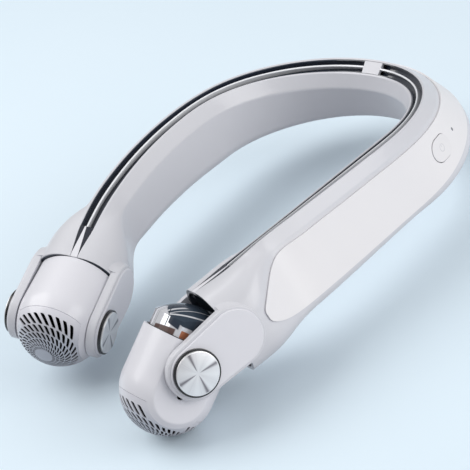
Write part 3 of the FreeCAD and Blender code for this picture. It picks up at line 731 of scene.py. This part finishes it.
seal_radius = 21.0 * millimetre
seal_flat = 17.0 * millimetre
seal_wall = 0.5 * millimetre
seal_sink = 1.6 * millimetre
seal_proud = 0.3 * millimetre
seal_segments = 128
facing_back = Matrix.Rotation(math.pi / 2, 4, "X")

for side in sides:
    matrix = pod_frame(side, "_rotor_spin")
    rim = max(spot.y for spot in node_spots(side + "_pod_sleeve", matrix))
    shape = bmesh.new()
    bmesh.ops.create_circle(shape, segments=seal_segments, radius=seal_radius, matrix=facing_back)
    for vert in shape.verts:
        vert.co.x = max(-seal_flat, min(seal_flat, vert.co.x))
    bmesh.ops.translate(shape, verts=shape.verts, vec=(0, rim - seal_sink, 0))
    wall = bmesh.ops.extrude_edge_only(shape, edges=shape.edges[:])
    moved = [item for item in wall["geom"] if isinstance(item, bmesh.types.BMVert)]
    bmesh.ops.translate(shape, verts=moved, vec=(0, seal_sink + seal_proud, 0))
    bmesh.ops.recalc_face_normals(shape, faces=shape.faces)
    bmesh.ops.solidify(shape, geom=shape.faces[:], thickness=seal_wall)
    bmesh.ops.transform(shape, matrix=matrix, verts=shape.verts)
    keep(side + "_rim_seal_and_shadow", shape, side + "_pod", finishes["black_ring"], "black_ring")


# Intake grilles: rows of swirled slots round the dome, on the places of the CAD ones.
# Rows and lines are angles from the dome's middle, and the counts are of the grid it starts as.

grille_radius = 22.39 * millimetre
grille_wall = 2.0 * millimetre
grille_half = 16.18 * millimetre
grille_seam = 8.2 * millimetre
grille_margin = 0.12 * millimetre
grille_rows = [(59.0, 47.2), (44.8, 36.6), (34.7, 28.2), (26.7, 21.6), (20.4, 16.5), (15.5, 12.6)]
rim_lines = [70.0, 66.0]
hub_lines = [9.0, 5.0]
hub_margin = 1.0
grille_slots = 30
grille_swirl = 0.84
slot_half = 15.4 * millimetre
slot_least = 0.6 * millimetre
slot_columns = 4
bar_columns = 4
slot_steps = 6
slot_pitch = slot_columns + bar_columns
grille_columns = grille_slots * slot_pitch
rim_smoothings = 2
rim_smoothing = 0.3
boss_radius = 4.6 * millimetre
boss_length = 3.0 * millimetre
boss_segments = 48
solid, opening = 0, 1


def on_dome(along, polar):
    """Place on the dome: a share of a turn from -1 to 1, swirled, and an angle from the middle."""
    polar = math.radians(polar)
    turn = math.pi * along - grille_swirl * math.log(math.tan(polar / 2))
    flat = math.sin(polar)
    return grille_radius * Vector((flat * math.sin(turn), -math.cos(polar), flat * math.cos(turn)))


def grille_lines():
    """Angles of the grid's lines from the rim to the hub, and the slot row after each line."""
    polars = list(rim_lines)
    row_after = {}
    for row, (outer, inner) in enumerate(grille_rows):
        for step in range(slot_steps):
            row_after[len(polars)] = row
            polars.append(outer + (inner - outer) * step / slot_steps)
        polars.append(inner)
    return polars + hub_lines, row_after


def in_slot(middle, lines, row_after):
    """Whether a spot of the flat grid lies in a slot that is far enough from the dome's flats."""
    row = row_after.get(int((middle.y + 1) / 2 * lines))
    if row is None:
        return False
    shift = row * slot_pitch // 2
    slot, column = divmod(int((middle.x + 1) / 2 * grille_columns) + shift, slot_pitch)
    along = 2 * (slot * slot_pitch - shift + slot_columns / 2) / grille_columns - 1
    centre = on_dome(along, sum(grille_rows[row]) / 2)
    return column < slot_columns and abs(centre.x) < slot_half - slot_least


def cut(shape, normal, reach, clear):
    """Cuts a shape by a plane, and clears what lies beyond it where that is asked."""
    parts = shape.verts[:] + shape.edges[:] + shape.faces[:]
    bmesh.ops.bisect_plane(shape, geom=parts, plane_co=Vector(normal) * reach, plane_no=normal,
                           clear_outer=clear)


def on_slot_rim(vert):
    """Whether a point lies on the border of a slot, clear of the dome's own outline."""
    beside = abs(vert.co.x) < slot_half - grille_margin
    return vert.is_boundary and beside and vert.co.y < -grille_seam - grille_margin


def grille_shape(place):
    """Dome with slots: a flat grid, marked, wrapped round the dome, cut out and thickened."""
    polars, row_after = grille_lines()
    lines = len(polars) - 1
    shape = bmesh.new()
    bmesh.ops.create_grid(shape, x_segments=grille_columns, y_segments=lines, size=1.0)
    for face in shape.faces:
        if in_slot(face.calc_center_median(), lines, row_after):
            face.material_index = opening
    for vert in shape.verts:
        vert.co = on_dome(vert.co.x, polars[round((vert.co.y + 1) / 2 * lines)])
    bmesh.ops.remove_doubles(shape, verts=shape.verts, dist=touching)
    hub_front = -math.cos(math.radians(polars[-1] + hub_margin)) * grille_radius
    hub = [edge for edge in shape.edges if edge.is_boundary and edge.verts[0].co.y < hub_front]
    bmesh.ops.contextual_create(shape, geom=hub)

    for sign in (1, -1):
        cut(shape, (sign, 0, 0), grille_half, True)
    cut(shape, (0, 1, 0), -grille_seam, True)
    for sign in (1, -1):
        cut(shape, (sign, 0, 0), slot_half, False)
    openings = [face for face in shape.faces
                if face.material_index == opening and abs(face.calc_center_median().x) < slot_half]
    bmesh.ops.delete(shape, geom=openings, context="FACES")
    for face in shape.faces:
        face.material_index = solid
    rims = [vert for vert in shape.verts if on_slot_rim(vert)]
    for _ in range(rim_smoothings):
        bmesh.ops.smooth_vert(shape, verts=rims, factor=rim_smoothing, use_axis_x=True,
                              use_axis_y=True, use_axis_z=True)

    bmesh.ops.recalc_face_normals(shape, faces=shape.faces)
    bmesh.ops.solidify(shape, geom=shape.faces[:], thickness=grille_wall)
    boss_middle = -grille_radius + grille_wall + boss_length / 2 - grille_margin
    boss_place = Matrix.Translation((0, boss_middle, 0)) @ facing_back
    bmesh.ops.create_cone(shape, cap_ends=True, segments=boss_segments, radius1=boss_radius,
                          radius2=boss_radius, depth=boss_length, matrix=boss_place)
    bmesh.ops.transform(shape, matrix=place, verts=shape.verts)
    return shape


for side in sides:
    name = side + "_intake_grille"
    shape = grille_shape(pod_frame(side, "_rotor_spin"))
    keep(side + "_grille", shape, side + "_pod", own_finishes[name], slot_of_node[name], name)


# Floor: pale where it is seen, and a plain grey for the light that it throws back

floor_gap = 0.4 * millimetre
floor_height = cad_box[0][2] - floor_gap
floor_size = 4.0
floor_grain = 6.0
paper_light, paper_dark = (0.77, 0.89, 0.97), (0.74, 0.87, 0.96)
bounce_grey = (0.48, 0.50, 0.54)

mesh = bpy.data.meshes.new("floor")
sheet = bmesh.new()
bmesh.ops.create_grid(sheet, x_segments=1, y_segments=1, size=floor_size)
bmesh.ops.translate(sheet, verts=sheet.verts, vec=(0, 0, floor_height))
sheet.to_mesh(mesh)
sheet.free()
floor = add_object("floor", mesh)
paper = Finish("floor_paper", Roughness=0.8)
seen = paper.node("LightPath", out="Is Camera Ray") + paper.node("LightPath", out="Is Glossy Ray")
seen = (seen + paper.node("LightPath", out="Is Transmission Ray")).step(0.0, 1.0)
pale = paper.mix(paper.noise(floor_grain), paper_light, paper_dark)
floor.data.materials.append(paper.paint(Base_Color=paper.mix(seen, bounce_grey, pale)))


# Camera, where the photograph was taken from

camera_azimuth = 50.87
camera_elevation = 31.29
camera_roll = -18.19
camera_angle = 17.16
camera_distance = 0.7769
camera_clip = 0.01
camera_target = Vector((0.01017, -0.062, -0.0169))

azimuth = math.radians(camera_azimuth)
elevation = math.radians(camera_elevation)
roll = math.radians(camera_roll)
flat = math.cos(elevation)
back = Vector((math.sin(azimuth) * flat, -math.cos(azimuth) * flat, math.sin(elevation)))
level = Vector((0, 0, 1)).cross(back).normalized()
rise = back.cross(level)
across = level * math.cos(roll) + rise * math.sin(roll)
upward = rise * math.cos(roll) - level * math.sin(roll)
camera = add_object("camera", bpy.data.cameras.new("camera"))
camera.data.angle = math.radians(camera_angle)
camera.data.clip_start = camera_clip
camera_turn = Matrix((across, upward, back)).transposed().to_4x4()
camera.matrix_world = Matrix.Translation(camera_target + back * camera_distance) @ camera_turn
bpy.context.scene.camera = camera


# Lamps: direction from the fan, distance, size, power and colour

warm_white = (1.0, 0.99, 0.98)
plain_white = (1.0, 1.0, 1.0)
lamps = [
    ("key", -0.9 * across + 0.3 * back + 0.95 * rise, 1.3, 1.1, 11.0, warm_white),
    ("fill", 0.8 * across + 0.62 * back + 0.3 * rise, 1.5, 1.2, 13.2, warm_white),
    ("top", Vector((0.0, 0.2, 1.0)), 1.2, 1.3, 1.0, plain_white),
]
world_colour = (0.96, 0.97, 1.0, 1.0)
world_strength = 0.40

for name, direction, distance, size, power, colour in lamps:
    direction = direction.normalized()
    lamp = add_object(name, bpy.data.lights.new(name, "AREA"))
    lamp.data.size = size
    lamp.data.energy = power
    lamp.data.color = colour
    lamp_turn = direction.to_track_quat("Z", "Y").to_matrix().to_4x4()
    lamp.matrix_world = Matrix.Translation(camera_target + direction * distance) @ lamp_turn
world = bpy.data.worlds.new("studio")
world.use_nodes = True
background = world.node_tree.nodes["Background"]
background.inputs["Color"].default_value = world_colour
background.inputs["Strength"].default_value = world_strength
bpy.context.scene.world = world
bpy.context.scene.view_settings.view_transform = "Standard"
